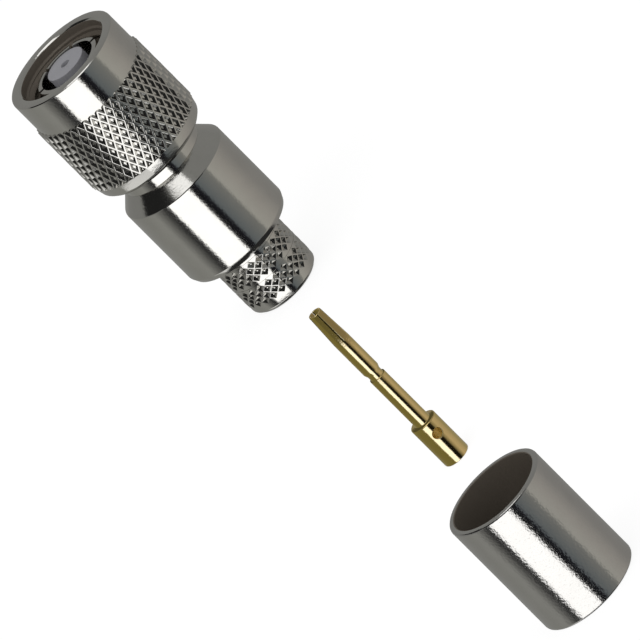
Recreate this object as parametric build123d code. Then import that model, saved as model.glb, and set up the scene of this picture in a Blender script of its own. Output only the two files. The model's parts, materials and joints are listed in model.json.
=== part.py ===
from build123d import *
from math import cos, pi, radians, sin, tan
import os

# Coaxial plug with a screw coupling for a 10.3 mm cable, crimp type, as it comes
# out of its bag: the plug, its loose socket contact and its loose crimp ferrule.
# Millimetres and degrees, +Z up. The plug stands on the end of its crimp stem with
# its mouth up, and the origin is the centre of that end. The contact and the ferrule
# stand on their own rear ends in a row along -Y.

# Cable that the crimped pieces take
conductor_radius = 1.13
dielectric_radius = 3.625
jacket_radius = 5.15

# Fits, as radial clearances unless the name says otherwise
conductor_room = 0.07
dielectric_room = 0.10
jacket_room = 0.15
press_room = 0.01
contact_room = 0.03
running_room = 0.05
ring_room = 0.05
ring_end_room = 0.10
ring_chamber_room = 0.20
collar_room = 0.10
gasket_room = 0.17

# Crimp stem, pressed into the rear of the body
stem_wall = 0.755
stem_length = 7.78
stem_insert = 4.30
stem_chamfer_length = 0.42
stem_chamfer_depth = 0.45
rear_knurl_start = 1.22
rear_knurl_length = 2.63
knurl_gap = 0.16
front_knurl_length = 2.69

# Body
body_radius = 6.82
body_length = 12.65
body_bevel_length = 0.70
body_bevel_depth = 0.33
body_cone_length = 1.90
body_cavity_radius = 3.50

# Outer contact: press spigot, neck, collar and slotted sleeve
spigot_length = 3.00
spigot_wall = 0.59
neck_radius = 5.19
neck_gap = 1.55
neck_below_ring = 3.79
ring_groove_depth = 0.69
collar_length = 2.70
sleeve_radius = 4.15
sleeve_wall = 0.63
sleeve_length = 7.80
sleeve_edge = 0.12
slot_count = 6
slot_width = 0.45
slot_length = 5.90

# Split ring that holds the coupling nut
ring_width = 1.05
ring_thickness = 1.10
ring_gap = 1.50

# Gasket round the foot of the sleeve
gasket_thickness = 1.30
gasket_edge = 0.20

# Coupling nut
nut_length = 14.93
nut_radius = 7.10
nut_edge = 0.25
nut_rear_bevel_length = 1.75
nut_rear_bevel_depth = 0.50
nut_knurl_length = 8.75
relief_depth = 0.53
relief_length = 1.00
thread_minor_radius = 5.12
thread_length = 7.89
thread_chamfer = 0.63
mouth_recess = 1.00
mouth_chamfer = 0.20

# Insulators
bead_radius = 4.00
bead_length = 4.00
bead_recess = 1.00
flange_length = 1.50
insulator_bore_radius = 3.23
nose_radius = 2.45
nose_recess = 0.70
entry_radius = 0.75
entry_chamfer = 0.20
lip_thickness = 0.80

# Socket contact
barrel_wall = 0.408
barrel_length = 5.59
barrel_edge = 0.15
barrel_floor = 0.58
shaft_radius = 0.985
lower_shaft_length = 7.28
groove_length = 1.03
groove_slope = 0.45
groove_depth = 0.165
upper_shaft_length = 4.69
finger_length = 4.35
finger_taper = 0.202
tip_edge = 0.12
tip_wall = 0.253
finger_root_wall = 0.305
socket_depth = 4.80
finger_slot_width = 0.28
finger_slot_turn = 12
inspection_radius = 0.66
inspection_below_floor = 0.37
inspection_turn = -81

# Crimp ferrule
ferrule_length = 15.18
ferrule_wall = 0.72
ferrule_edge = 0.22

# Where the loose pieces stand, along Y
contact_place = -67.7
ferrule_place = -117.45

# Diamond knurls: pitch round the piece, angle of the ridges to the axis, how far the
# ridges stand above the piece, and the depth of the pits between them
nut_knurl_pitch = 0.98
nut_knurl_angle = 26
nut_knurl_step = 0.26
nut_knurl_depth = 0.24
stem_knurl_pitch = 1.18
stem_knurl_angle = 46
stem_knurl_step = 0.07
stem_knurl_depth = 0.25

# How exactly a blank's face has to end where its knurl does
band_tolerance = 0.001

# Sizes that follow from the ones above
stem_bore_radius = dielectric_radius + dielectric_room
stem_radius = stem_bore_radius + stem_wall
body_top = stem_length + body_length
spigot_low = body_top - spigot_length
nut_low = body_top + neck_gap
mouth = nut_low + nut_length
ring_low = body_top + neck_below_ring
ring_high = ring_low + ring_thickness
collar_low = ring_high + ring_end_room
collar_high = collar_low + collar_length
sleeve_high = collar_high + sleeve_length
sleeve_bore_radius = sleeve_radius - sleeve_wall
spigot_radius = bead_radius + press_room + spigot_wall
collar_radius = thread_minor_radius - collar_room
gasket_outer_radius = thread_minor_radius - gasket_room
relief_radius = thread_minor_radius + relief_depth
ring_groove_radius = neck_radius - ring_groove_depth
ring_inner_radius = ring_groove_radius + ring_room
ring_outer_radius = ring_inner_radius + ring_width
slot_low = sleeve_high - slot_length
bead_high = spigot_low + bead_length
flange_high = bead_high + flange_length
nose_high = mouth - nose_recess
contact_bore_radius = shaft_radius + contact_room
conductor_bore_radius = conductor_radius + conductor_room
barrel_radius = conductor_bore_radius + barrel_wall
barrel_bore_length = barrel_length - barrel_floor
inspection_height = barrel_bore_length - inspection_below_floor - inspection_radius
ferrule_bore_radius = jacket_radius + jacket_room


def turned(*corners):
    """Solid turned about Z from the (radius, height) corners of half its section."""
    outline = Polyline(*[(radius, 0, height) for radius, height in corners], close=True)
    return revolve(make_face(outline), Axis.Z, clean=False)


def diamond_faces(net_radius, pit_radius, low, length, count, rows):
    """Flat facets of a diamond knurl: one four-sided pit in each mesh of its net."""
    step = length / rows

    def point(radius, half_turns, row):
        turn = half_turns * pi / count
        return Vector(radius * cos(turn), radius * sin(turn), low + row * step)

    def facet(*corners):
        return Face(Wire.make_polygon(corners, close=True))

    facets = []
    for row in range(rows + 1):
        at_edge = row in (0, rows)
        for mesh in range(count):
            middle = 2 * mesh + (row + 1) % 2
            pit = point(net_radius if at_edge else pit_radius, middle, row)
            left = point(net_radius, middle - 1, row)
            right = point(net_radius, middle + 1, row)
            if row > 0:
                below = point(net_radius, middle, row - 1)
                facets += [facet(left, below, pit), facet(below, right, pit)]
            if row < rows:
                above = point(net_radius, middle, row + 1)
                facets += [facet(right, above, pit), facet(above, left, pit)]
    return facets


def rim_polygon(radius, height, count):
    """Closed outline of the last row of a knurl, with a corner at each half mesh."""
    turns = [half * pi / count for half in range(2 * count)]
    corners = [(radius * cos(turn), radius * sin(turn), height) for turn in turns]
    return Wire.make_polygon(corners, close=True)


def knurled(blank, low, length, step, depth, pitch, angle):
    """Blank whose band from low to low + length carries a diamond knurl.

    The ridges of the knurl stand a step above the blank, with pits between them. The
    band is a face of its own on the blank, because its outline has a corner at both
    of its ends.
    """
    def is_band(face):
        box = face.bounding_box()
        ends = abs(box.min.Z - low) + abs(box.max.Z - low - length)
        return face.geom_type == GeomType.CYLINDER and ends < band_tolerance

    band = max(filter(is_band, blank.faces()), key=lambda face: face.area)
    blank_radius = band.bounding_box().max.X
    net_radius = blank_radius + step
    count = round(2 * pi * net_radius / pitch)
    rows = max(2, round(length * tan(radians(angle)) / (pitch / 2)))
    facets = diamond_faces(net_radius, net_radius - depth, low, length, count, rows)
    rims = []
    for circle in band.edges().filter_by(GeomType.CIRCLE):
        height = circle.center().Z
        rims.append(Face(rim_polygon(net_radius, height, count), [Wire([circle])]))
    kept = [face for face in blank.faces() if not face.is_same(band)]
    return Solid(Shell(kept + rims + facets))


def crimp_stem():
    """Tube that goes between the cable's dielectric and its braid."""
    top = stem_length + stem_insert
    front_knurl_start = rear_knurl_start + rear_knurl_length + knurl_gap
    blank = turned(
        (stem_bore_radius, 0),
        (stem_radius - stem_chamfer_depth, 0),
        (stem_radius, stem_chamfer_length),
        (stem_radius, rear_knurl_start),
        (stem_radius, rear_knurl_start + rear_knurl_length),
        (stem_radius, front_knurl_start),
        (stem_radius, front_knurl_start + front_knurl_length),
        (stem_radius, top),
        (stem_bore_radius, top),
    )
    pattern = (stem_knurl_step, stem_knurl_depth, stem_knurl_pitch, stem_knurl_angle)
    stem = knurled(blank, rear_knurl_start, rear_knurl_length, *pattern)
    return knurled(stem, front_knurl_start, front_knurl_length, *pattern)


def body():
    """Heavy sleeve that joins the crimp stem to the outer contact."""
    stem_seat = stem_radius + press_room
    spigot_seat = spigot_radius + press_room
    return turned(
        (stem_seat, stem_length),
        (body_radius - body_bevel_depth, stem_length),
        (body_radius, stem_length + body_bevel_length),
        (body_radius, body_top - body_cone_length),
        (neck_radius, body_top),
        (spigot_seat, body_top),
        (spigot_seat, spigot_low),
        (body_cavity_radius, spigot_low),
        (body_cavity_radius, stem_length + stem_insert),
        (stem_seat, stem_length + stem_insert),
    )


def outer_contact():
    """Neck that carries the nut, in one piece with the slotted sleeve."""
    bead_seat = bead_radius + press_room
    bore = insulator_bore_radius + press_room
    sleeve = turned(
        (bead_seat, spigot_low),
        (spigot_radius, spigot_low),
        (spigot_radius, body_top),
        (neck_radius, body_top),
        (neck_radius, ring_low),
        (ring_groove_radius, ring_low),
        (ring_groove_radius, collar_low),
        (collar_radius, collar_low),
        (collar_radius, collar_high),
        (sleeve_radius, collar_high),
        (sleeve_radius, sleeve_high - sleeve_edge),
        (sleeve_radius - sleeve_edge, sleeve_high),
        (sleeve_bore_radius, sleeve_high),
        (sleeve_bore_radius, slot_low),
        (bore, slot_low),
        (bore, flange_high),
        (bead_seat, flange_high),
    )
    slot = Pos(sleeve_radius, 0, slot_low) * Box(
        2 * sleeve_wall + sleeve_radius, slot_width, 2 * slot_length,
        align=(Align.CENTER, Align.CENTER, Align.MIN),
    )
    return sleeve - [Rot(0, 0, index * 360 / slot_count) * slot for index in range(slot_count)]


def retaining_ring():
    """Split spring ring, half in the groove of the neck and half in the nut."""
    ring = turned(
        (ring_inner_radius, ring_low),
        (ring_outer_radius, ring_low),
        (ring_outer_radius, ring_high),
        (ring_inner_radius, ring_high),
    )
    gap = Pos(0, ring_outer_radius, ring_low) * Box(
        ring_gap, 2 * ring_outer_radius - ring_inner_radius, 3 * ring_thickness,
    )
    return ring - gap


def gasket():
    """Rubber ring that seals against the mating socket."""
    inner = sleeve_radius + press_room
    high = collar_high + gasket_thickness
    return turned(
        (inner, collar_high),
        (gasket_outer_radius, collar_high),
        (gasket_outer_radius, high - gasket_edge),
        (gasket_outer_radius - gasket_edge, high),
        (inner, high),
    )


def coupling_nut():
    """Knurled nut that turns on the neck and screws over the mating socket."""
    bore = neck_radius + running_room
    chamber_radius = ring_outer_radius + ring_chamber_room
    chamber_low = ring_low - ring_end_room
    chamber_high = ring_high + ring_end_room
    thread_low = mouth - thread_length
    thread_high = mouth - mouth_recess - thread_chamfer
    mouth_radius = thread_minor_radius + thread_chamfer
    bevel_high = nut_low + nut_rear_bevel_length
    blank = turned(
        (bore, nut_low),
        (nut_radius - nut_rear_bevel_depth, nut_low),
        (nut_radius, bevel_high),
        (nut_radius, bevel_high + nut_knurl_length),
        (nut_radius, mouth - nut_edge),
        (nut_radius - nut_edge, mouth),
        (mouth_radius + mouth_chamfer, mouth),
        (mouth_radius, mouth - mouth_chamfer),
        (mouth_radius, thread_high + thread_chamfer),
        (thread_minor_radius, thread_high),
        (thread_minor_radius, thread_low),
        (relief_radius, thread_low),
        (relief_radius, thread_low - relief_length),
        (bore, thread_low - relief_length),
        (bore, chamber_high),
        (chamber_radius, chamber_high),
        (chamber_radius, chamber_low),
        (bore, chamber_low),
    )
    return knurled(
        blank, bevel_high, nut_knurl_length, nut_knurl_step,
        nut_knurl_depth, nut_knurl_pitch, nut_knurl_angle,
    )


def rear_insulator():
    """Bead behind the front insulator, recessed for the nose of the crimp barrel."""
    barrel_seat = barrel_radius + contact_room
    return turned(
        (barrel_seat, spigot_low),
        (bead_radius, spigot_low),
        (bead_radius, bead_high),
        (contact_bore_radius, bead_high),
        (contact_bore_radius, spigot_low + bead_recess),
        (barrel_seat, spigot_low + bead_recess),
    )


def front_insulator():
    """Stepped insulator whose nose stands free inside the slotted sleeve."""
    lip_low = nose_high - lip_thickness
    return turned(
        (contact_bore_radius, bead_high),
        (bead_radius, bead_high),
        (bead_radius, flange_high),
        (insulator_bore_radius, flange_high),
        (insulator_bore_radius, slot_low),
        (nose_radius, slot_low),
        (nose_radius, nose_high),
        (entry_radius + entry_chamfer, nose_high),
        (entry_radius, nose_high - entry_chamfer),
        (entry_radius, lip_low),
        (contact_bore_radius, lip_low),
    )


def centre_contact():
    """Socket contact: crimp barrel below, grooved shaft, four spring fingers on top."""
    groove_low = barrel_length + lower_shaft_length
    groove_high = groove_low + groove_length
    finger_low = groove_high + upper_shaft_length
    top = finger_low + finger_length
    socket_low = top - socket_depth
    socket_radius = shaft_radius - finger_root_wall
    tip_radius = shaft_radius - finger_taper
    groove_radius = shaft_radius - groove_depth
    contact = turned(
        (0, barrel_bore_length),
        (conductor_bore_radius, barrel_bore_length),
        (conductor_bore_radius, 0),
        (barrel_radius - barrel_edge, 0),
        (barrel_radius, barrel_edge),
        (barrel_radius, barrel_length - barrel_edge),
        (barrel_radius - barrel_edge, barrel_length),
        (shaft_radius, barrel_length),
        (shaft_radius, groove_low),
        (groove_radius, groove_low),
        (groove_radius, groove_high - groove_slope),
        (shaft_radius, groove_high),
        (shaft_radius, finger_low),
        (tip_radius, top - tip_edge),
        (tip_radius - tip_edge, top),
        (tip_radius - tip_wall, top),
        (socket_radius, socket_low),
        (0, socket_low),
    )
    slot = Pos(0, 0, finger_low) * Box(
        4 * shaft_radius, finger_slot_width, 2 * finger_length,
        align=(Align.CENTER, Align.CENTER, Align.MIN),
    )
    window = Pos(0, 0, inspection_height) * Rot(0, 0, inspection_turn) * Rot(0, 90, 0) * Cylinder(
        inspection_radius, 2 * barrel_radius,
        align=(Align.CENTER, Align.CENTER, Align.MIN),
    )
    turns = (finger_slot_turn, finger_slot_turn + 90)
    contact -= [Rot(0, 0, turn) * slot for turn in turns]
    return Pos(0, contact_place, 0) * (contact - window)


def crimp_ferrule():
    """Soft sleeve that is crimped over the braid on the stem."""
    outer = ferrule_bore_radius + ferrule_wall
    tube = turned(
        (ferrule_bore_radius, 0),
        (outer - ferrule_edge, 0),
        (outer, ferrule_edge),
        (outer, ferrule_length - ferrule_edge),
        (outer - ferrule_edge, ferrule_length),
        (ferrule_bore_radius, ferrule_length),
    )
    return Pos(0, ferrule_place, 0) * tube


pieces = {
    "coupling_nut": coupling_nut(),
    "retaining_ring": retaining_ring(),
    "gasket": gasket(),
    "outer_contact": outer_contact(),
    "body": body(),
    "crimp_stem": crimp_stem(),
    "front_insulator": front_insulator(),
    "rear_insulator": rear_insulator(),
    "centre_contact": centre_contact(),
    "crimp_ferrule": crimp_ferrule(),
}

os.makedirs("parts", exist_ok=True)
for name, piece in pieces.items():
    export_step(piece, f"parts/{name}.step")
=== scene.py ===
import json
import math

import bmesh
import bpy
from bpy.props import FloatProperty, FloatVectorProperty, IntProperty, PointerProperty
from mathutils import Matrix, Vector


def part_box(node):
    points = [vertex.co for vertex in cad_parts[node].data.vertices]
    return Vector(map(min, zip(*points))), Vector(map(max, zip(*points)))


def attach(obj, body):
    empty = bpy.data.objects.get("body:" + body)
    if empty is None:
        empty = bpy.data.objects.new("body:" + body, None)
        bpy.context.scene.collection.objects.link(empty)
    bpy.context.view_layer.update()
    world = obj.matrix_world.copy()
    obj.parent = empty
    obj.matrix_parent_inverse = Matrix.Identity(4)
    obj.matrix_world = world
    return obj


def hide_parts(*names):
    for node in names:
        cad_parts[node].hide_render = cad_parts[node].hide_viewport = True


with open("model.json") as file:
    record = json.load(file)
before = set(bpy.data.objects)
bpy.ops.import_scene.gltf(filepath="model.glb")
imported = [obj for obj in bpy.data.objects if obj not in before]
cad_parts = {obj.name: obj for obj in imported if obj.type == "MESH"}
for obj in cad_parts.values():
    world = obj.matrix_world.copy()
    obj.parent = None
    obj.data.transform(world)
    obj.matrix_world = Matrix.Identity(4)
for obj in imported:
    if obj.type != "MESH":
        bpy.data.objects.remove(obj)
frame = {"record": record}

bl_info = {
    "name": "Crimp coaxial plug",
    "version": (1, 0, 0),
    "blender": (4, 5, 0),
    "location": "View3D > Sidebar > Plug",
    "description": "Builds a screw-coupled coaxial plug with its contact and ferrule",
    "category": "Add Mesh",
}

MM = 0.001
TURN = 2 * math.pi
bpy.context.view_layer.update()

# Sides of a full turn: enough for a clean outline, and a multiple of both slot counts
SIDES = 180

# Angle of the slots between spring fingers: three sides wide
SLOT = 3 * TURN / SIDES

# Points nearer than this are one point
CLOSE = 1e-3 * MM

# Edges that bend by more than this stay sharp. The knurled pieces have the lower one
CREASE = math.radians(32)
KNURL_CREASE = math.radians(24)

# Steps in which the wall of a knurl's pit goes down: shares of its width and its depth
PIT_WALL = ((0.15, 0.05), (0.85, 0.95))


def box(node):
    """Lowest height, highest height and outer radius of a CAD node."""
    low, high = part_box(node)
    return low[2], high[2], (high[0] - low[0]) / 2


def middle(node):
    """How far along Y a CAD node stands."""
    low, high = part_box(node)
    return (low[1] + high[1]) / 2


NUT_LOW, MOUTH, NUT_CREST = box("coupling_nut")
STEM_LOW, STEM_HIGH, STEM_CREST = box("crimp_stem")
BODY_LOW, BODY_HIGH, BODY_RADIUS = box("body")
SPIGOT_LOW, SLEEVE_HIGH, NECK_RADIUS = box("outer_contact")
RING_LOW, RING_HIGH, RING_RADIUS = box("retaining_ring")
GASKET_LOW, GASKET_HIGH, GASKET_RADIUS = box("gasket")
BEAD_LOW, BEAD_HIGH, BEAD_RADIUS = box("rear_insulator")
NOSE_LOW, NOSE_HIGH, FLANGE_RADIUS = box("front_insulator")
CONTACT_LOW, CONTACT_HIGH, BARREL_RADIUS = box("centre_contact")
FERRULE_LOW, FERRULE_HIGH, FERRULE_RADIUS = box("crimp_ferrule")
CONTACT_PLACE = middle("centre_contact")
FERRULE_PLACE = middle("crimp_ferrule")

# Gaps between pieces that are pressed, slid or left to turn in each other
PRESSED = 0.01 * MM
SLID = 0.03 * MM
TURNING = 0.05 * MM

# Room of the ring along the axis, in its groove and in its chamber
RING_PLAY = 0.1 * MM

# Sizes that two pieces share: the ring's inside and its groove, the neck's spigot and
# its seat in the body, and the insulator's flange and its seat in the neck
RING_INNER = NECK_RADIUS - 0.64 * MM
SPIGOT_RADIUS = BEAD_RADIUS + PRESSED + 0.59 * MM
FLANGE_HIGH = BEAD_HIGH + 1.50 * MM
FLANGE_BORE = 3.24 * MM


def length(name, description, millimetres):
    """A size property in metres, given here in millimetres."""
    return FloatProperty(
        name=name, description=description, default=millimetres * MM,
        min=0.0, unit="LENGTH", precision=5,
    )


def angle(name, description, degrees):
    """An angle property, given here in degrees."""
    return FloatProperty(
        name=name, description=description, default=math.radians(degrees),
        subtype="ANGLE",
    )


def colour(name, description, *rgb):
    """A colour property, from linear red, green and blue."""
    return FloatVectorProperty(
        name=name, description=description, default=rgb, subtype="COLOR",
        min=0.0, max=1.0,
    )


class PlugSizes(bpy.types.PropertyGroup):
    """Sizes that aren't taken from the CAD boxes"""
    edge: length("Edge", "Rounding of the turned edges", 0.10)
    nut_radius: length("Nut radius", "Smooth front of the coupling nut", 7.10)
    nut_knurl_length: length("Nut knurl", "Length of the nut's knurled band", 8.75)
    nut_knurl_low: length("Rear bevel", "Length of the bevel behind the knurl", 1.75)
    nut_rear_radius: length("Rear face", "Outer radius of the nut's rear face", 6.48)
    nut_knurl_pitch: length("Nut knurl pitch", "From pit to pit round the nut", 0.98)
    nut_knurl_angle: angle("Nut knurl angle", "Slant of the ridges to the axis", 26)
    nut_knurl_depth: length("Nut knurl depth", "Depth of the pits", 0.24)
    nut_ridge: length("Nut ridge", "Half the width of the top of a ridge", 0.05)
    thread_radius: length("Thread radius", "Root of the coupling thread", 5.556)
    thread_crest: length("Thread crest", "Crest of the coupling thread", 5.12)
    thread_pitch: length("Thread pitch", "Advance of the thread in one turn", 0.907)
    thread_length: length("Thread length", "Depth of the threaded mouth", 7.89)
    mouth_radius: length("Mouth radius", "Plain opening before the thread", 5.75)
    mouth_recess: length("Mouth recess", "Depth of that plain opening", 1.00)
    mouth_chamfer: length("Mouth chamfer", "Chamfer at the edge of the mouth", 0.20)
    stem_radius: length("Stem radius", "Plain outside of the crimp stem", 4.48)
    stem_bore: length("Stem bore", "Radius of the bore of the stem", 3.725)
    stem_knurl_pitch: length("Stem knurl pitch", "From pit to pit round it", 1.18)
    stem_knurl_angle: angle("Stem knurl angle", "Slant of the ridges to the axis", 46)
    stem_knurl_depth: length("Stem knurl depth", "Depth of the pits", 0.25)
    stem_ridge: length("Stem ridge", "Half the width of the top of a ridge", 0.012)
    sleeve_radius: length("Sleeve radius", "Outside of the slotted sleeve", 4.15)
    sleeve_wall: length("Sleeve wall", "Thickness of the sleeve's fingers", 0.63)
    slot_length: length("Slot length", "Depth of the slots of the sleeve", 5.90)
    slot_count: IntProperty(
        name="Slots", description="Number of slots of the sleeve", default=6,
        min=2, max=12,
    )
    nose_radius: length("Nose radius", "Radius of the insulator in the mouth", 2.45)
    shaft_radius: length("Shaft radius", "Radius of the socket contact's shaft", 0.985)
    ferrule_wall: length("Ferrule wall", "Thickness of the ferrule", 0.72)


class PlugFinishes(bpy.types.PropertyGroup):
    """Colours of the platings, the plastic and the rubber"""
    nickel: colour("Nickel", "Plating of the turned pieces", 0.64, 0.63, 0.60)
    ferrule: colour("Ferrule", "Plating of the drawn ferrule", 0.62, 0.61, 0.59)
    # Dark brown of the nut's and ferrule's bores: rough machined metal, darkened
    # further as painted shade of the recess
    shaded_bore: colour("Shaded_bore", "Rough metal inside nut and ferrule", 0.165, 0.14, 0.112)
    gold: colour("Gold", "Plating of the contact", 0.86, 0.66, 0.27)
    barrel: colour("Barrel", "Rough gold inside the crimp barrel", 0.80, 0.52, 0.07)
    bronze: colour("Bronze", "Spring bronze of the hidden ring", 0.62, 0.47, 0.28)
    # Pale grey of the insulators: white fluoroplastic, darkened as painted shade of the
    # nut's mouth
    plastic: colour("Plastic", "Fluoroplastic insulators", 0.37, 0.37, 0.395)
    rubber: colour("Rubber", "Silicone rubber gasket", 0.45, 0.10, 0.07)


class PlugStage(bpy.types.PropertyGroup):
    """Camera and light"""
    elevation: angle("Elevation", "Height of the camera above the horizon", 22.3)
    roll: angle("Roll", "Turn of the picture about its centre", 45)
    distance: FloatProperty(
        name="Distance", description="From the camera to the middle of the picture",
        default=2.595, min=0.1, unit="LENGTH",
    )
    frame_width: length("Frame width", "Width of the picture at that distance", 68.8)
    aim: length("Aim", "How far in front of the plug the camera aims", 14.19)
    aside: length("Aside", "How far left of the row the camera stands", 0.097)
    sky: FloatProperty(
        name="Sky", description="Strength of the even light", default=0.55, min=0.0,
    )
    lamp: FloatProperty(
        name="Lamp", description="Power of the big soft lamp", default=1.6, min=0.0,
    )


# Shaping


def everything(bm):
    return bm.verts[:] + bm.edges[:] + bm.faces[:]


def open_edges(bm):
    return [edge for edge in bm.edges if edge.is_boundary]


def face_outward(bm):
    bmesh.ops.recalc_face_normals(bm, faces=bm.faces[:])


def spin(bm, turn=TURN, steps=SIDES, rise=0.0, copies=False):
    """Sweeps all that the mesh holds about Z, with an even rise for a helix.

    Where copies is true, it sets copies side by side and sweeps nothing.
    """
    bmesh.ops.spin(
        bm, geom=everything(bm), cent=(0, 0, 0), axis=(0, 0, 1),
        dvec=(0, 0, rise / steps), angle=turn, steps=steps,
        use_merge=turn == TURN and rise == 0.0, use_normal_flip=False,
        use_duplicate=copies,
    )


def rotate(bm, turn, axis="Z"):
    """Turns the whole mesh about an axis through the origin."""
    bmesh.ops.rotate(
        bm, verts=bm.verts[:], cent=(0, 0, 0), matrix=Matrix.Rotation(turn, 3, axis),
    )


def section(corners):
    """Joins (radius, height, rounding) corners into half a section, and rounds them.

    The outline is closed, unless it starts and ends on the axis.
    """
    bm = bmesh.new()
    verts = [bm.verts.new((radius, 0, height)) for radius, height, _ in corners]
    pairs = list(zip(verts, verts[1:]))
    if corners[0][0] > 0 or corners[-1][0] > 0:
        pairs.append((verts[-1], verts[0]))
    for pair in pairs:
        bm.edges.new(pair)
    for rounding in sorted({corner[2] for corner in corners if corner[2] > 0}):
        chosen = [vert for vert, corner in zip(verts, corners) if corner[2] == rounding]
        bmesh.ops.bevel(
            bm, geom=chosen, offset=rounding, affect="VERTICES", segments=3,
            profile=0.5, material=-1,
        )
    return bm


def turned(corners):
    """Mesh turned from the corners of half a section."""
    bm = section(corners)
    spin(bm)
    bmesh.ops.remove_doubles(bm, verts=bm.verts[:], dist=CLOSE)
    face_outward(bm)
    return bm


def knurl(crest, low, high, pitch, slant, depth, ridge, wall, cut_ends):
    """Sleeve with a net of ridges between two heights, and a pit in each mesh.

    Ridge is half the width of a ridge's top. Wall is the width of the slope from there
    to the flat bottom of the pit, which is less steep near the top. The half meshes at
    the two ends are cut pits or, where cut_ends is false, plain. Both rims are drawn
    into the metal below, apart from each other, and joined there to close the shell.
    """
    rim_share, rim_shift = 0.94, 0.02 * crest
    count = round(TURN * crest / pitch)
    rows = max(2, round((high - low) * math.tan(slant) / (pitch / 2)))
    half, step = TURN / count / 2, (high - low) / rows
    insets = [(ridge, 0)] + [(wall * across, depth * down) for across, down in PIT_WALL]
    bm = bmesh.new()
    for row in range(rows + 1):
        turn, height = row % 2 * half, low + row * step
        spots = ((turn, -step), (turn + half, 0), (turn, step), (turn - half, 0))
        mesh = bm.faces.new([
            bm.verts.new((crest * math.cos(way), crest * math.sin(way), height + rise))
            for way, rise in spots
        ])
        mesh.normal_update()
        if cut_ends or 0 < row < rows:
            for width, drop in insets:
                bmesh.ops.inset_individual(
                    bm, faces=[mesh], thickness=width, depth=-drop,
                    use_even_offset=True,
                )
    spin(bm, turn=TURN * (count - 1) / count, steps=count - 1, copies=True)
    bmesh.ops.remove_doubles(bm, verts=bm.verts[:], dist=CLOSE)
    for height, up in ((low, -1), (high, 1)):
        bmesh.ops.bisect_plane(
            bm, geom=everything(bm), dist=CLOSE, plane_co=(0, 0, height),
            plane_no=(0, 0, up), clear_outer=True,
        )
    face_outward(bm)
    for part in bmesh.ops.extrude_edge_only(bm, edges=open_edges(bm))["geom"]:
        if isinstance(part, bmesh.types.BMVert):
            part.co.xy *= rim_share
            part.co.z += rim_shift if part.co.z > (low + high) / 2 else -rim_shift
    bmesh.ops.bridge_loops(bm, edges=open_edges(bm))
    face_outward(bm)
    return bm


def thread(crest, root, pitch, low, high):
    """Closed ridge of an internal thread, with its foot sunk in the wall."""
    per_turn = 72
    foot = root + 0.05 * MM
    at_foot, at_crest = 0.44 * pitch, 0.10 * pitch
    profile = ((foot, -at_foot), (crest, -at_crest), (crest, at_crest), (foot, at_foot))
    bm = bmesh.new()
    verts = [bm.verts.new((radius, 0, low + rise)) for radius, rise in profile]
    for pair in zip(verts, verts[1:] + verts[:1]):
        bm.edges.new(pair)
    steps = round((high - low) / pitch * per_turn)
    spin(bm, turn=TURN * steps / per_turn, steps=steps, rise=pitch * steps / per_turn)
    bmesh.ops.holes_fill(bm, edges=open_edges(bm))
    face_outward(bm)
    return bm


def fingers(bm, low, high, inner, outer, count, rounding, squeeze=1.0):
    """Draws fingers up from the flat ring between two radii, with slots between them.

    Squeeze draws the tips in towards the axis.
    """
    def in_finger(face):
        centre = face.calc_center_median()
        turn = math.atan2(centre.y, centre.x) % (TURN / count)
        return min(turn, TURN / count - turn) >= SLOT / 2

    def in_ring(face):
        radii = [vert.co.xy.length for vert in face.verts]
        flat = all(abs(vert.co.z - low) < CLOSE for vert in face.verts)
        return flat and inner - CLOSE < min(radii) and max(radii) < outer + CLOSE

    feet = [face for face in bm.faces if in_ring(face) and in_finger(face)]
    raised = bmesh.ops.extrude_face_region(bm, geom=feet)["geom"]
    bmesh.ops.delete(bm, geom=feet, context="FACES_KEEP_BOUNDARY")
    verts = [part for part in raised if isinstance(part, bmesh.types.BMVert)]
    bmesh.ops.translate(bm, verts=verts, vec=(0, 0, high - low))
    bmesh.ops.scale(bm, verts=verts, vec=(squeeze, squeeze, 1))
    tops = {part for part in raised if isinstance(part, bmesh.types.BMFace)}
    rims = [
        edge for edge in bm.edges
        if len(edge.link_faces) == 2 and len(tops.intersection(edge.link_faces)) == 1
    ]
    bmesh.ops.bevel(
        bm, geom=rims, offset=rounding, affect="EDGES", segments=2, profile=0.5,
        material=-1,
    )
    face_outward(bm)


def as_mesh(bm, name):
    """Mesh data of a bmesh, which is freed."""
    mesh = bpy.data.meshes.new(name)
    bm.to_mesh(mesh)
    bm.free()
    return mesh


def add(target, extra):
    """Adds one mesh to another, as one more shell of it."""
    scratch = as_mesh(extra, "scratch")
    target.from_mesh(scratch)
    bpy.data.meshes.remove(scratch)


def in_scene(name, data):
    """Object of a mesh, lamp or camera, in the scene."""
    thing = bpy.data.objects.new(name, data)
    bpy.context.scene.collection.objects.link(thing)
    return thing


def finished(bm, node, material, crease=CREASE, place=0.0):
    """Piece of the mesh, standing at place along Y, in the stead of its CAD node."""
    bmesh.ops.translate(bm, verts=bm.verts[:], vec=(0, place, 0))
    name = node + "_piece"
    mesh = as_mesh(bm, name)
    mesh.polygons.foreach_set("use_smooth", [True] * len(mesh.polygons))
    mesh.set_sharp_from_angle(angle=crease)
    mesh.materials.append(bpy.data.materials[material])
    piece = in_scene(name, mesh)
    weighted = piece.modifiers.new("Even shading", "WEIGHTED_NORMAL")
    weighted.keep_sharp = True
    weighted.weight = 80
    bodies = frame["record"]["behaviour"]["bodies"]
    body = next(key for key, nodes in bodies.items() if node in nodes)
    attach(piece, body)
    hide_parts(node)
    return piece


# Materials


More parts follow.
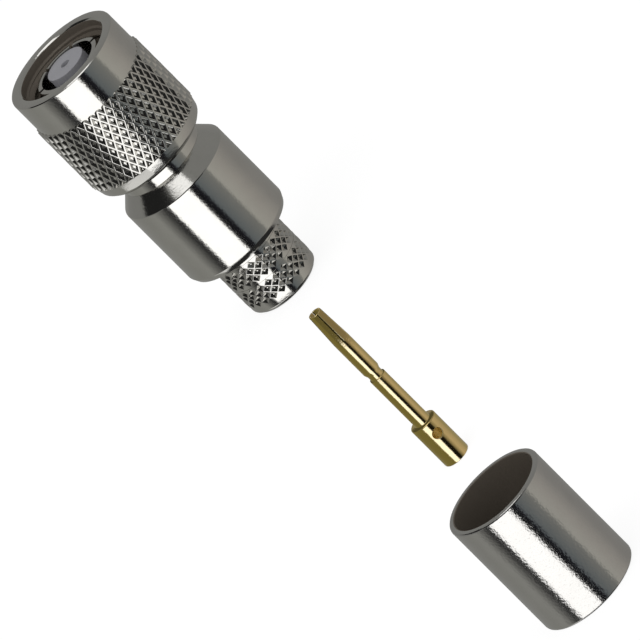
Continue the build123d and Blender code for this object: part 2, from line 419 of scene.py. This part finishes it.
class Value:
    """Wraps a number socket of a node tree, so that its sums are written as Python."""

    def __init__(self, shader, socket):
        self.shader = shader
        self.socket = socket

    def maths(self, operation, *others):
        """Result of a Math node with this value first."""
        inputs = dict(enumerate((self, *others)))
        node = self.shader.node("ShaderNodeMath", {"operation": operation}, inputs)
        return Value(self.shader, node.outputs[0])

    def reversed(self, operation, other):
        """Result of a Math node with this value second."""
        inputs = {0: other, 1: self}
        node = self.shader.node("ShaderNodeMath", {"operation": operation}, inputs)
        return Value(self.shader, node.outputs[0])

    def __add__(self, other):
        return self.maths("ADD", other)

    def __radd__(self, other):
        return self.reversed("ADD", other)

    def __sub__(self, other):
        return self.maths("SUBTRACT", other)

    def __rsub__(self, other):
        return self.reversed("SUBTRACT", other)

    def __mul__(self, other):
        return self.maths("MULTIPLY", other)

    def __rmul__(self, other):
        return self.reversed("MULTIPLY", other)

    def clipped(self, low=0.0, high=1.0):
        return self.maths("MAXIMUM", low).maths("MINIMUM", high)


class Shader:
    """Node tree of a material or of the world, with one method that adds any node."""

    def __init__(self, name, owner=None):
        self.owner = owner or bpy.data.materials.new(name)
        self.owner.use_nodes = True
        self.tree = self.owner.node_tree
        self.tree.nodes.clear()

    def node(self, kind, settings=None, inputs=None):
        """Adds a node: its settings or its ramp's stops first, and then its sockets."""
        node = self.tree.nodes.new(kind)
        for key, value in (settings or {}).items():
            if key == "stops":
                self.set_stops(node.color_ramp.elements, value)
            else:
                setattr(node, key, value)
        for key, value in (inputs or {}).items():
            if isinstance(value, Value):
                value = value.socket
            if isinstance(value, bpy.types.NodeSocket):
                self.tree.links.new(value, node.inputs[key])
            else:
                node.inputs[key].default_value = value
        return node

    @staticmethod
    def set_stops(stops, values):
        while len(stops) < len(values):
            stops.new(1.0)
        for stop, (position, tone) in zip(stops, values):
            stop.position = position
            stop.color = (*tone, 1)

    def coordinates(self):
        return self.node("ShaderNodeTexCoord").outputs["Object"]

    def axes(self):
        """The object's X, Y and Z as three values."""
        split = self.node("ShaderNodeSeparateXYZ", {}, {0: self.coordinates()})
        return [Value(self, socket) for socket in split.outputs]

    def noise(self, scale, detail=2.0, shift=(0, 0, 0)):
        """Noise from 0 to 1, with marks as fine as the scale."""
        mapping = self.node("ShaderNodeMapping", {}, {
            "Vector": self.coordinates(), "Scale": scale, "Location": shift,
        })
        noise = self.node("ShaderNodeTexNoise", {}, {
            "Vector": mapping.outputs["Vector"], "Scale": 1.0, "Detail": detail,
            "Roughness": 0.55,
        })
        return Value(self, noise.outputs["Fac"])

    def inside(self, radius, height, place):
        """1 in the upright cylinder that stands at place along Y, else 0."""
        across, along, rise = self.axes()
        along = along - place
        near = (across * across + along * along).maths("LESS_THAN", radius * radius)
        return near * rise.maths("LESS_THAN", height)

    def mix(self, share, first, second):
        """Colour between two colours."""
        inputs = {0: share, 6: first, 7: second}
        return self.node("ShaderNodeMix", {"data_type": "RGBA"}, inputs).outputs[2]

    def bump(self, height, strength, distance, normal=None):
        inputs = {"Height": height, "Strength": strength, "Distance": distance}
        if normal is not None:
            inputs["Normal"] = normal
        return self.node("ShaderNodeBump", {}, inputs).outputs["Normal"]

    def show(self, shader, output="ShaderNodeOutputMaterial"):
        """Puts a shader node on the output."""
        self.node(output, {}, {"Surface": shader.outputs[0]})

    def show_either(self, share, first, second):
        """Puts the mix of two shader nodes on the output."""
        inputs = {0: share, 1: first.outputs[0], 2: second.outputs[0]}
        self.show(self.node("ShaderNodeMixShader", {}, inputs))

    def show_surface(self, inputs):
        """Puts a Principled shader on the output."""
        self.show(self.node("ShaderNodeBsdfPrincipled", {}, inputs))


def per_mm(across, along=None):
    """Scale of a pattern, from the size of its marks in mm across and along Z."""
    along = along or across
    return (1 / (across * MM), 1 / (across * MM), 1 / (along * MM))


def rgba(rgb, factor=1.0):
    """Opaque colour, made darker or lighter by a factor."""
    return (*[min(1.0, part * factor) for part in rgb], 1.0)


def plated(name, rgb, inner, roughness=0.10, marks=1.0, peel=1.0,
           bore=0.0, high=1.0, place=0.0):
    """Plated metal: turning marks round the axis, a fine peel and dull patches.

    Marks and peel are the strengths of the first two. What lies within the bore's
    radius, up to its height, is rougher and less metallic, and has the inner colour,
    which in the nut and ferrule is darkened as painted shade of the bore.
    """
    dull, dull_inner, metal_lost, roughened = 0.86, 0.85, 0.75, 0.40
    shader = Shader(name)
    turning = shader.noise(per_mm(3.0, along=0.05), detail=3.0)
    peel_height = shader.noise(per_mm(0.28), shift=(3, 1, 2))
    patches = shader.noise(per_mm(2.2), detail=4.0, shift=(1, 5, 3))
    grain = shader.noise(per_mm(0.12), shift=(7, 2, 4))
    inside = shader.inside(bore, high, place)
    tone = (patches * 1.5 - 0.25).clipped() * 0.6 + grain * 0.4
    uneven = roughness + (patches - 0.5) * 0.06 + (grain - 0.5) * 0.05
    peeled = shader.bump(peel_height, 1.0, 0.008 * MM * peel)
    marked = shader.bump(turning, 0.10 * marks, 0.01 * MM, peeled)
    outside_colour = shader.mix(tone, rgba(rgb, dull), rgba(rgb))
    inside_colour = shader.mix(tone, rgba(inner, dull_inner), rgba(inner))
    shader.show_surface({
        "Base Color": shader.mix(inside, outside_colour, inside_colour),
        "Metallic": 1.0 - inside * metal_lost,
        "Roughness": uneven + inside * roughened,
        "Normal": marked,
    })


def waxy(name, rgb):
    """Turned fluoroplastic: waxy, with faint turning marks."""
    dull = 0.92
    shader = Shader(name)
    turning = shader.noise(per_mm(2.0, along=0.08))
    cloud = shader.noise(per_mm(1.6), detail=3.0, shift=(2, 4, 6))
    shader.show_surface({
        "Base Color": shader.mix(cloud, rgba(rgb, dull), rgba(rgb)),
        "Roughness": 0.42 + cloud * 0.12,
        "IOR": 1.36,
        "Normal": shader.bump(turning, 0.12, 0.01 * MM),
    })


def rubbery(name, rgb):
    """Moulded silicone rubber: matt, with a dusty bloom."""
    dark, dusty = 0.8, 1.15
    shader = Shader(name)
    bloom = shader.noise(per_mm(0.9), detail=4.0)
    grain = shader.noise(per_mm(0.1), shift=(4, 4, 1))
    shader.show_surface({
        "Base Color": shader.mix(bloom, rgba(rgb, dark), rgba(rgb, dusty)),
        "Roughness": 0.62 + bloom * 0.2,
        "Normal": shader.bump(grain, 0.2, 0.02 * MM),
    })


class PLUG_OT_finishes(bpy.types.Operator):
    """Materials of all the pieces"""
    bl_idname = "plug.finishes"
    bl_label = "Finishes"

    def execute(self, context):
        finish = context.scene.plug_finishes
        # These radii lie within the walls, so that the whole inside is taken in and
        # gets the bore's dark colour of painted shade
        nut_bore = 5.78 * MM
        ferrule_bore = FERRULE_RADIUS - 0.6 * MM
        barrel_bore, barrel_floor = BARREL_RADIUS - 0.36 * MM, 5.1 * MM
        plated("nickel_plating", finish.nickel, finish.shaded_bore)
        plated("nut_plating", finish.nickel, finish.shaded_bore, bore=nut_bore)
        plated("ferrule_plating", finish.ferrule, finish.shaded_bore, roughness=0.12,
               marks=0.6, peel=2.2, bore=ferrule_bore, place=FERRULE_PLACE)
        plated("gold_plating", finish.gold, finish.barrel, roughness=0.12, marks=1.6,
               bore=barrel_bore, high=barrel_floor, place=CONTACT_PLACE)
        plated("spring_bronze", finish.bronze, finish.bronze, roughness=0.30)
        waxy("waxy_plastic", finish.plastic)
        rubbery("silicone_rubber", finish.rubber)
        return {"FINISHED"}


# Pieces


class PLUG_OT_coupling_nut(bpy.types.Operator):
    """Knurled nut with its coupling thread"""
    bl_idname = "plug.coupling_nut"
    bl_label = "Coupling nut"

    def execute(self, context):
        size = context.scene.plug_sizes
        bore = NECK_RADIUS + TURNING
        chamber = RING_RADIUS + 0.2 * MM
        chamber_low, chamber_high = RING_LOW - RING_PLAY, RING_HIGH + RING_PLAY
        bevel_radius = size.nut_rear_radius + 0.51 * MM
        bevel_high = NUT_LOW + 0.50 * MM
        knurl_low = NUT_LOW + size.nut_knurl_low
        knurl_foot = NUT_CREST - 0.10 * MM
        mouth, chamfer = size.mouth_radius, size.mouth_chamfer
        recess_low = MOUTH - size.mouth_recess
        cone_low = recess_low - mouth + size.thread_radius
        thread_low = MOUTH - size.thread_length
        relief, relief_low = size.thread_crest + 0.53 * MM, thread_low - 1.0 * MM
        bm = turned([
            (bore, NUT_LOW, size.edge),
            (size.nut_rear_radius, NUT_LOW, 0.15 * MM),
            (bevel_radius, bevel_high, 0.12 * MM),
            (knurl_foot, knurl_low, 0),
            (size.nut_radius, knurl_low, 0),
            (size.nut_radius, MOUTH, 0.25 * MM),
            (mouth + chamfer, MOUTH, 0.03 * MM),
            (mouth, MOUTH - chamfer, 0.05 * MM),
            (mouth, recess_low, 0.05 * MM),
            (size.thread_radius, cone_low, 0),
            (size.thread_radius, thread_low, 0),
            (relief, thread_low, 0),
            (relief, relief_low, 0),
            (bore, relief_low, 0),
            (bore, chamber_high, 0),
            (chamber, chamber_high, 0),
            (chamber, chamber_low, 0),
            (bore, chamber_low, 0),
        ])
        add(bm, knurl(
            crest=NUT_CREST, low=knurl_low, high=knurl_low + size.nut_knurl_length,
            pitch=size.nut_knurl_pitch, slant=size.nut_knurl_angle,
            depth=size.nut_knurl_depth, ridge=size.nut_ridge, wall=0.27 * MM,
            cut_ends=True,
        ))
        ridge = thread(
            crest=size.thread_crest, root=size.thread_radius, pitch=size.thread_pitch,
            low=thread_low + size.thread_pitch / 2,
            high=recess_low - size.thread_pitch / 3,
        )
        # The mouth's cone takes off the start of the thread
        cut_depth = 0.03 * MM
        for vert in ridge.verts:
            cone = mouth - (recess_low - vert.co.z) + cut_depth
            if vert.co.xy.length < cone:
                vert.co.xy *= cone / vert.co.xy.length
        add(bm, ridge)
        finished(bm, "coupling_nut", "nut_plating", crease=KNURL_CREASE)
        return {"FINISHED"}


class PLUG_OT_outer_contact(bpy.types.Operator):
    """Neck with its ring groove, in one piece with the slotted sleeve"""
    bl_idname = "plug.outer_contact"
    bl_label = "Outer contact"

    def execute(self, context):
        size = context.scene.plug_sizes
        seat = BEAD_RADIUS + PRESSED
        groove = RING_INNER - TURNING
        collar, collar_low = size.thread_crest - 0.10 * MM, RING_HIGH + RING_PLAY
        inner = size.sleeve_radius - size.sleeve_wall
        slot_low = SLEEVE_HIGH - size.slot_length
        bm = turned([
            (seat, SPIGOT_LOW, 0),
            (SPIGOT_RADIUS, SPIGOT_LOW, 0),
            (SPIGOT_RADIUS, BODY_HIGH, 0),
            (NECK_RADIUS, BODY_HIGH, 0),
            (NECK_RADIUS, RING_LOW, size.edge / 2),
            (groove, RING_LOW, 0),
            (groove, collar_low, 0),
            (collar, collar_low, 0),
            (collar, GASKET_LOW, 0),
            (size.sleeve_radius, GASKET_LOW, 0),
            (size.sleeve_radius, slot_low, 0),
            (inner, slot_low, 0),
            (FLANGE_BORE, slot_low, 0),
            (FLANGE_BORE, FLANGE_HIGH, 0),
            (seat, FLANGE_HIGH, 0),
        ])
        fingers(
            bm, low=slot_low, high=SLEEVE_HIGH, inner=inner, outer=size.sleeve_radius,
            count=size.slot_count, rounding=0.09 * MM,
        )
        finished(bm, "outer_contact", "nickel_plating")
        return {"FINISHED"}


class PLUG_OT_body(bpy.types.Operator):
    """Heavy sleeve between the neck and the crimp stem"""
    bl_idname = "plug.body"
    bl_label = "Body"

    def execute(self, context):
        size = context.scene.plug_sizes
        stem_seat = size.stem_radius + PRESSED
        spigot_seat = SPIGOT_RADIUS + PRESSED
        cavity = 3.50 * MM
        bevel_radius, bevel_high = BODY_RADIUS - 0.33 * MM, BODY_LOW + 0.70 * MM
        cone_low = BODY_HIGH - 1.90 * MM
        bm = turned([
            (stem_seat, BODY_LOW, 0.05 * MM),
            (bevel_radius, BODY_LOW, 0.6 * size.edge),
            (BODY_RADIUS, bevel_high, 0.6 * size.edge),
            (BODY_RADIUS, cone_low, 0.8 * size.edge),
            (NECK_RADIUS, BODY_HIGH, 0.3 * size.edge),
            (spigot_seat, BODY_HIGH, 0),
            (spigot_seat, SPIGOT_LOW, 0),
            (cavity, SPIGOT_LOW, 0),
            (cavity, STEM_HIGH, 0),
            (stem_seat, STEM_HIGH, 0),
        ])
        finished(bm, "body", "nickel_plating")
        return {"FINISHED"}


class PLUG_OT_crimp_stem(bpy.types.Operator):
    """Tube with two knurled bands, for the cable's braid"""
    bl_idname = "plug.crimp_stem"
    bl_label = "Crimp stem"

    def execute(self, context):
        size = context.scene.plug_sizes
        outer, foot = size.stem_radius, size.stem_radius - size.stem_knurl_depth
        bevel_radius, bevel_high = outer - 0.45 * MM, STEM_LOW + 0.42 * MM
        bands = ((1.22 * MM, 3.85 * MM), (4.01 * MM, 6.70 * MM))
        corners = [
            (size.stem_bore, STEM_LOW, size.edge / 2),
            (bevel_radius, STEM_LOW, size.edge),
            (outer, bevel_high, 1.5 * size.edge),
        ]
        for low, high in bands:
            corners += [
                (outer, low, 0), (foot, low, 0), (foot, high, 0), (outer, high, 0),
            ]
        corners += [(outer, STEM_HIGH, 0), (size.stem_bore, STEM_HIGH, 0)]
        bm = turned(corners)
        for low, high in bands:
            add(bm, knurl(
                crest=STEM_CREST, low=low, high=high, pitch=size.stem_knurl_pitch,
                slant=size.stem_knurl_angle, depth=size.stem_knurl_depth,
                ridge=size.stem_ridge, wall=0.33 * MM, cut_ends=False,
            ))
        finished(bm, "crimp_stem", "nickel_plating", crease=KNURL_CREASE)
        return {"FINISHED"}


class PLUG_OT_insulators(bpy.types.Operator):
    """Stepped front insulator and the bead behind it"""
    bl_idname = "plug.insulators"
    bl_label = "Insulators"

    def execute(self, context):
        size = context.scene.plug_sizes
        bore = size.shaft_radius + SLID
        shank, shoulder = FLANGE_BORE - PRESSED, SLEEVE_HIGH - size.slot_length
        entry, lip_low = 0.55 * MM, NOSE_HIGH - 0.80 * MM
        front = turned([
            (bore, NOSE_LOW, 0),
            (FLANGE_RADIUS, NOSE_LOW, 0),
            (FLANGE_RADIUS, FLANGE_HIGH, 0),
            (shank, FLANGE_HIGH, 0),
            (shank, shoulder, 0),
            (size.nose_radius, shoulder, 0),
            (size.nose_radius, NOSE_HIGH, 0.08 * MM),
            (entry, NOSE_HIGH, 0.05 * MM),
            (entry, lip_low, 0),
            (bore, lip_low, 0),
        ])
        finished(front, "front_insulator", "waxy_plastic")
        barrel_seat, barrel_end = BARREL_RADIUS + SLID, BEAD_LOW + 1.0 * MM
        bead = turned([
            (barrel_seat, BEAD_LOW, 0),
            (BEAD_RADIUS, BEAD_LOW, 0.1 * MM),
            (BEAD_RADIUS, BEAD_HIGH, 0),
            (bore, BEAD_HIGH, 0),
            (bore, barrel_end, 0),
            (barrel_seat, barrel_end, 0),
        ])
        finished(bead, "rear_insulator", "waxy_plastic")
        return {"FINISHED"}


class PLUG_OT_ring_and_gasket(bpy.types.Operator):
    """Split ring that holds the nut, and the gasket at the foot of the sleeve"""
    bl_idname = "plug.ring_and_gasket"
    bl_label = "Ring and gasket"

    def execute(self, context):
        size = context.scene.plug_sizes
        half_gap, gap_sides = math.asin(0.75 * MM / RING_RADIUS), 8
        rounding = 0.06 * MM
        ring = section([
            (RING_INNER, RING_LOW, rounding),
            (RING_RADIUS, RING_LOW, rounding),
            (RING_RADIUS, RING_HIGH, rounding),
            (RING_INNER, RING_HIGH, rounding),
        ])
        bmesh.ops.contextual_create(ring, geom=ring.edges[:])
        spin(ring, turn=TURN - 2 * half_gap, steps=SIDES - gap_sides)
        rotate(ring, TURN / 4 + half_gap)
        face_outward(ring)
        finished(ring, "retaining_ring", "spring_bronze")
        inner = size.sleeve_radius + PRESSED
        gasket = turned([
            (inner, GASKET_LOW, 0),
            (GASKET_RADIUS, GASKET_LOW, 0),
            (GASKET_RADIUS, GASKET_HIGH, 0.2 * MM),
            (inner, GASKET_HIGH, 0.1 * MM),
        ])
        finished(gasket, "gasket", "silicone_rubber")
        return {"FINISHED"}


def cut_window(contact, radius, height, turn):
    """Cuts a round window in one wall of the contact's barrel."""
    cutter = bmesh.new()
    bmesh.ops.create_cone(
        cutter, cap_ends=True, segments=48, radius1=radius, radius2=radius,
        depth=2 * BARREL_RADIUS,
    )
    rotate(cutter, TURN / 4, "Y")
    bmesh.ops.translate(cutter, verts=cutter.verts[:], vec=(BARREL_RADIUS, 0, height))
    rotate(cutter, turn)
    bmesh.ops.translate(cutter, verts=cutter.verts[:], vec=(0, CONTACT_PLACE, 0))
    tool = in_scene("window_cutter", as_mesh(cutter, "window_cutter"))
    cut = contact.modifiers.new("Window", "BOOLEAN")
    cut.object = tool
    cut.solver = "EXACT"
    shading = contact.modifiers["Even shading"]
    shading.show_viewport = False
    graph = bpy.context.evaluated_depsgraph_get()
    contact.data = bpy.data.meshes.new_from_object(contact.evaluated_get(graph))
    contact.data.set_sharp_from_angle(angle=CREASE)
    contact.modifiers.remove(cut)
    shading.show_viewport = True
    bpy.data.objects.remove(tool)


class PLUG_OT_centre_contact(bpy.types.Operator):
    """Loose socket contact with crimp barrel, groove and spring fingers"""
    bl_idname = "plug.centre_contact"
    bl_label = "Socket contact"

    def execute(self, context):
        shaft = context.scene.plug_sizes.shaft_radius
        edge = 0.12 * MM
        conductor = BARREL_RADIUS - 0.408 * MM
        barrel_high = CONTACT_LOW + 5.59 * MM
        floor_low = barrel_high - 0.58 * MM
        groove = shaft - 0.165 * MM
        groove_low = barrel_high + 7.28 * MM
        groove_high = groove_low + 1.03 * MM
        groove_slope = groove_high - 0.45 * MM
        socket = shaft - 0.305 * MM
        finger_low = CONTACT_HIGH - 4.35 * MM
        socket_low, drill_tip = finger_low - 0.45 * MM, finger_low - 0.60 * MM
        bm = turned([
            (0, floor_low, 0),
            (conductor, floor_low, 0),
            (conductor, CONTACT_LOW, edge / 2),
            (BARREL_RADIUS, CONTACT_LOW, edge),
            (BARREL_RADIUS, barrel_high, edge),
            (shaft, barrel_high, 0.05 * MM),
            (shaft, groove_low, 0.03 * MM),
            (groove, groove_low, 0.03 * MM),
            (groove, groove_slope, 0.05 * MM),
            (shaft, groove_high, 0.05 * MM),
            (shaft, finger_low, 0),
            (socket, finger_low, 0),
            (socket, socket_low, 0),
            (0, drill_tip, 0),
        ])
        fingers(
            bm, low=finger_low, high=CONTACT_HIGH, inner=socket, outer=shaft, count=4,
            rounding=0.05 * MM, squeeze=0.797,
        )
        rotate(bm, math.radians(12))
        contact = finished(
            bm, "centre_contact", "gold_plating", place=CONTACT_PLACE,
        )
        cut_window(contact, radius=0.66 * MM, height=3.98 * MM, turn=math.radians(-81))
        # The plug doesn't mirror the contact, which would leave a gold streak on it
        contact.visible_glossy = False
        return {"FINISHED"}


class PLUG_OT_crimp_ferrule(bpy.types.Operator):
    """Loose ferrule that is crimped over the braid"""
    bl_idname = "plug.crimp_ferrule"
    bl_label = "Crimp ferrule"

    def execute(self, context):
        inner = FERRULE_RADIUS - context.scene.plug_sizes.ferrule_wall
        inner_edge, outer_edge = 0.12 * MM, 0.25 * MM
        bm = turned([
            (inner, FERRULE_LOW, inner_edge),
            (FERRULE_RADIUS, FERRULE_LOW, outer_edge),
            (FERRULE_RADIUS, FERRULE_HIGH, outer_edge),
            (inner, FERRULE_HIGH, inner_edge),
        ])
        finished(
            bm, "crimp_ferrule", "ferrule_plating",
            place=FERRULE_PLACE,
        )
        return {"FINISHED"}


# Stage

# Painted reflections, which the metal mirrors in place of a real room: direction of the
# mirrored light in degrees from straight at the camera, counted towards the camera's
# right, then its colour. The band brighter than 1 is a painted highlight of a lamp's
# strip
NICKEL_REFLECTION_BANDS = (
    (-180, (0.29, 0.29, 0.28)),
    (-115, (0.30, 0.30, 0.28)),
    (-90, (0.34, 0.34, 0.32)),
    (-70, (0.12, 0.12, 0.115)),
    (-64, (0.05, 0.05, 0.05)),
    (-55, (0.04, 0.04, 0.04)),
    (-52.5, (1.8, 1.8, 1.8)),
    (-3, (1.8, 1.8, 1.8)),
    (-1, (0.01, 0.01, 0.01)),
    (13, (0.015, 0.015, 0.02)),
    (16, (0.15, 0.17, 0.18)),
    (47, (0.25, 0.25, 0.235)),
    (52, (0.48, 0.47, 0.43)),
    (80, (0.42, 0.40, 0.37)),
    (112, (0.31, 0.30, 0.285)),
    (180, (0.24, 0.24, 0.23)),
)
GOLD_REFLECTION_BANDS = (
    (-180, (0.30, 0.30, 0.26)),
    (-100, (0.20, 0.20, 0.12)),
    (-42, (0.19, 0.19, 0.10)),
    (-37, (1.55, 1.75, 2.75)),
    (-6, (1.55, 1.75, 2.75)),
    (-1, (0.01, 0.01, 0.01)),
    (25, (0.01, 0.01, 0.01)),
    (36, (0.26, 0.25, 0.22)),
    (58, (0.55, 0.51, 0.51)),
    (90, (0.46, 0.43, 0.43)),
    (110, (0.35, 0.35, 0.31)),
    (180, (0.30, 0.30, 0.30)),
)

# Fields of painted reflection that lie over the bands, each over those before it:
# painted highlights where they glow above 1, painted shade where
# they are dark. Columns: the elevations and the directions between which they lie, in
# degrees, and their colour
NICKEL_REFLECTION_FIELDS = (
    (-83, -60, -180, 180, (0.03, 0.03, 0.03)),
    (-62, -53, -85, 46, (0.03, 0.03, 0.03)),
    (-61, -42, -105, -34, (0.95, 0.95, 0.94)),
    (-4, 95, -180, 180, (0.27, 0.27, 0.26)),
    (-4, 52, -62, 35, (0.02, 0.02, 0.02)),
    (25, 53, -150, -52, (0.02, 0.02, 0.02)),
    (20, 42, -90, 50, (0.02, 0.02, 0.02)),
    (-45, -33, -56, 6, (0.05, 0.05, 0.05)),
    (55, 95, -46, 14, (1.5, 1.5, 1.5)),
    (76, 95, -60, 60, (1.5, 1.5, 1.5)),
    (62, 95, 14, 60, (1.5, 1.5, 1.5)),
)
GOLD_REFLECTION_FIELDS = (
    (-3, 40, -60, 1, (0.14, 0.14, 0.09)),
    (-5, 36, 22, 118, (0.24, 0.22, 0.20)),
    (45, 95, -42, 40, (2.0, 2.0, 2.0)),
    (8, 40, 130, 181, (0.09, 0.09, 0.06)),
    (8, 40, -181, -130, (0.09, 0.09, 0.06)),
)

# Soft edges of the fields, and how much farther they reach to each side, in degrees
ELEVATION_BLUR, TURN_BLUR, OVERLAP = 4, 3, 1


def only_in_metal(thing):
    """Leaves an object of the stage to be seen in mirrored light alone."""
    for rays in ("camera", "diffuse", "shadow", "transmission", "volume_scatter"):
        setattr(thing, "visible_" + rays, False)


def between(value, low, high, blur):
    """1 where the value lies between two others, and 0 outside, with soft edges."""
    rise = ((value - low) * (1 / blur) + 0.5).clipped()
    fall = ((high - value) * (1 / blur) + 0.5).clipped()
    return rise * fall


def painted_reflection_ball(name, height, radius, bands, fields):
    """Glowing ball round the row's middle, painted with the reflections and highlights
    that the metal mirrors.

    It is seen by the pieces that stand in it, and from no farther than they can be.
    """
    bm = bmesh.new()
    bmesh.ops.create_uvsphere(bm, u_segments=96, v_segments=48, radius=radius)
    bmesh.ops.reverse_faces(bm, faces=bm.faces[:])
    room = in_scene(name, as_mesh(bm, name))
    room.location = (0, CONTACT_PLACE, height)
    shader = Shader(name)
    across, along, rise = shader.axes()
    towards = along * -1.0
    sine = (rise * (1 / radius)).clipped(-1.0, 1.0)
    turn = across.maths("ARCTAN2", towards) * math.degrees(1)
    elevation = sine.maths("ARCSINE") * math.degrees(1)
    light = shader.node(
        "ShaderNodeValToRGB",
        {"stops": [(degrees / 360 + 0.5, tone) for degrees, tone in bands]},
        {"Fac": turn * (1 / 360) + 0.5},
    ).outputs["Color"]
    for low, high, left, right, tone in fields:
        share = (between(elevation, low, high, ELEVATION_BLUR)
                 * between(turn, left - OVERLAP, right + OVERLAP, TURN_BLUR))
        light = shader.mix(share, light, (*tone, 1))
    glow = shader.node("ShaderNodeEmission", {}, {"Color": light})
    nothing = shader.node("ShaderNodeBsdfTransparent")
    outside = Value(shader, shader.node("ShaderNodeNewGeometry").outputs["Backfacing"])
    way = Value(shader, shader.node("ShaderNodeLightPath").outputs["Ray Length"])
    too_far = way.maths("GREATER_THAN", radius + height)
    shader.show_either(outside.maths("MAXIMUM", too_far), glow, nothing)
    room.data.materials.append(shader.owner)
    only_in_metal(room)


def floor():
    """Pale floor that stays white to the eye and keeps the shadows."""
    half_width, drop = 6.0, 0.02 * MM
    white, own_light, light_share = 0.97, 1.15, 0.75
    bm = bmesh.new()
    bmesh.ops.create_grid(bm, x_segments=1, y_segments=1, size=half_width)
    bmesh.ops.translate(bm, verts=bm.verts[:], vec=(0, 0, -drop))
    plane = in_scene("floor", as_mesh(bm, "floor"))
    shader = Shader("floor")
    matt = shader.node("ShaderNodeBsdfDiffuse", {}, {"Color": (white, white, white, 1)})
    glow = shader.node("ShaderNodeEmission", {}, {
        "Color": (1, 1, 1, 1), "Strength": own_light,
    })
    path = shader.node("ShaderNodeLightPath")
    camera_ray, glossy_ray, transmission_ray = (
        Value(shader, path.outputs[name])
        for name in ("Is Camera Ray", "Is Glossy Ray", "Is Transmission Ray")
    )
    seen = (camera_ray + glossy_ray + transmission_ray).clipped()
    shader.show_either(seen * light_share, matt, glow)
    plane.data.materials.append(shader.owner)
    # The metal mirrors the painted dark foot of the reflection ball in place of the
    # white floor
    plane.visible_glossy = False


def sky(strength):
    """Even white light from all sides."""
    world = bpy.data.worlds.new("studio")
    bpy.context.scene.world = world
    shader = Shader("studio", world)
    light = shader.node("ShaderNodeBackground", {}, {
        "Color": (1, 1, 1, 1), "Strength": strength,
    })
    shader.show(light, "ShaderNodeOutputWorld")


def lamp(place, width, power):
    """Square soft lamp that shines on the row's middle."""
    data = bpy.data.lights.new("key_lamp", "AREA")
    data.size = width
    data.energy = power
    thing = in_scene("key_lamp", data)
    thing.location = place
    towards = Vector((0, CONTACT_PLACE, 0)) - thing.location
    thing.rotation_euler = towards.to_track_quat("-Z", "Y").to_euler()
    # The reflection balls hold a painted highlight of this lamp, which the metal
    # mirrors in its stead
    thing.visible_glossy = False


def camera(stage):
    """Long lens that looks down on the row, turned so that up runs to the top left."""
    tilt, roll = stage.elevation, stage.roll
    back = Vector((0, -math.cos(tilt), math.sin(tilt)))
    up = Vector((0, math.sin(tilt), math.cos(tilt)))
    right = Vector((1, 0, 0))
    rolled_up = up * math.cos(roll) + right * math.sin(roll)
    rolled_right = right * math.cos(roll) - up * math.sin(roll)
    data = bpy.data.cameras.new("camera")
    data.sensor_width = 36.0
    data.lens = data.sensor_width * stage.distance / stage.frame_width
    thing = in_scene("camera", data)
    place = Vector((-stage.aside, -stage.aim, 0)) + back * stage.distance
    turn = Matrix((rolled_right, rolled_up, back)).transposed().to_4x4()
    thing.matrix_world = Matrix.Translation(place) @ turn
    bpy.context.scene.camera = thing


class PLUG_OT_stage(bpy.types.Operator):
    """Floor, lights, balls of painted reflections and camera"""
    bl_idname = "plug.stage"
    bl_label = "Stage"

    def execute(self, context):
        stage = context.scene.plug_stage
        floor()
        sky(stage.sky)
        lamp(place=(-0.35, -0.45, 0.75), width=0.6, power=stage.lamp)
        # Balls of painted reflections and painted highlights, one for the nickel and
        # one for the gold contact
        painted_reflection_ball("room", height=0.2, radius=3.0, bands=NICKEL_REFLECTION_BANDS,
                      fields=NICKEL_REFLECTION_FIELDS)
        painted_reflection_ball("contact_room", height=CONTACT_HIGH / 2, radius=25 * MM,
                      bands=GOLD_REFLECTION_BANDS, fields=GOLD_REFLECTION_FIELDS)
        camera(stage)
        context.scene.view_settings.view_transform = "Standard"
        return {"FINISHED"}


PIECES = (
    PLUG_OT_finishes,
    PLUG_OT_coupling_nut,
    PLUG_OT_outer_contact,
    PLUG_OT_body,
    PLUG_OT_crimp_stem,
    PLUG_OT_insulators,
    PLUG_OT_ring_and_gasket,
    PLUG_OT_centre_contact,
    PLUG_OT_crimp_ferrule,
    PLUG_OT_stage,
)
GROUPS = {
    "plug_sizes": PlugSizes, "plug_finishes": PlugFinishes, "plug_stage": PlugStage,
}


class PLUG_PT_panel(bpy.types.Panel):
    """Lists the sizes, the finishes and the pieces in the sidebar"""
    bl_idname = "PLUG_PT_panel"
    bl_label = "Coaxial plug"
    bl_space_type = "VIEW_3D"
    bl_region_type = "UI"
    bl_category = "Plug"

    def draw(self, context):
        for key, kind in GROUPS.items():
            rows = self.layout.box()
            for name in kind.__annotations__:
                rows.prop(getattr(context.scene, key), name)
        for piece in PIECES:
            self.layout.operator(piece.bl_idname)


CLASSES = (*GROUPS.values(), *PIECES, PLUG_PT_panel)


def register():
    for cls in CLASSES:
        bpy.utils.register_class(cls)
    for key, kind in GROUPS.items():
        setattr(bpy.types.Scene, key, PointerProperty(type=kind))


def unregister():
    for key in GROUPS:
        delattr(bpy.types.Scene, key)
    for cls in reversed(CLASSES):
        bpy.utils.unregister_class(cls)


def main():
    register()
    for piece in PIECES:
        group, name = piece.bl_idname.split(".")
        getattr(getattr(bpy.ops, group), name)()


if __name__ == "__main__":
    main()
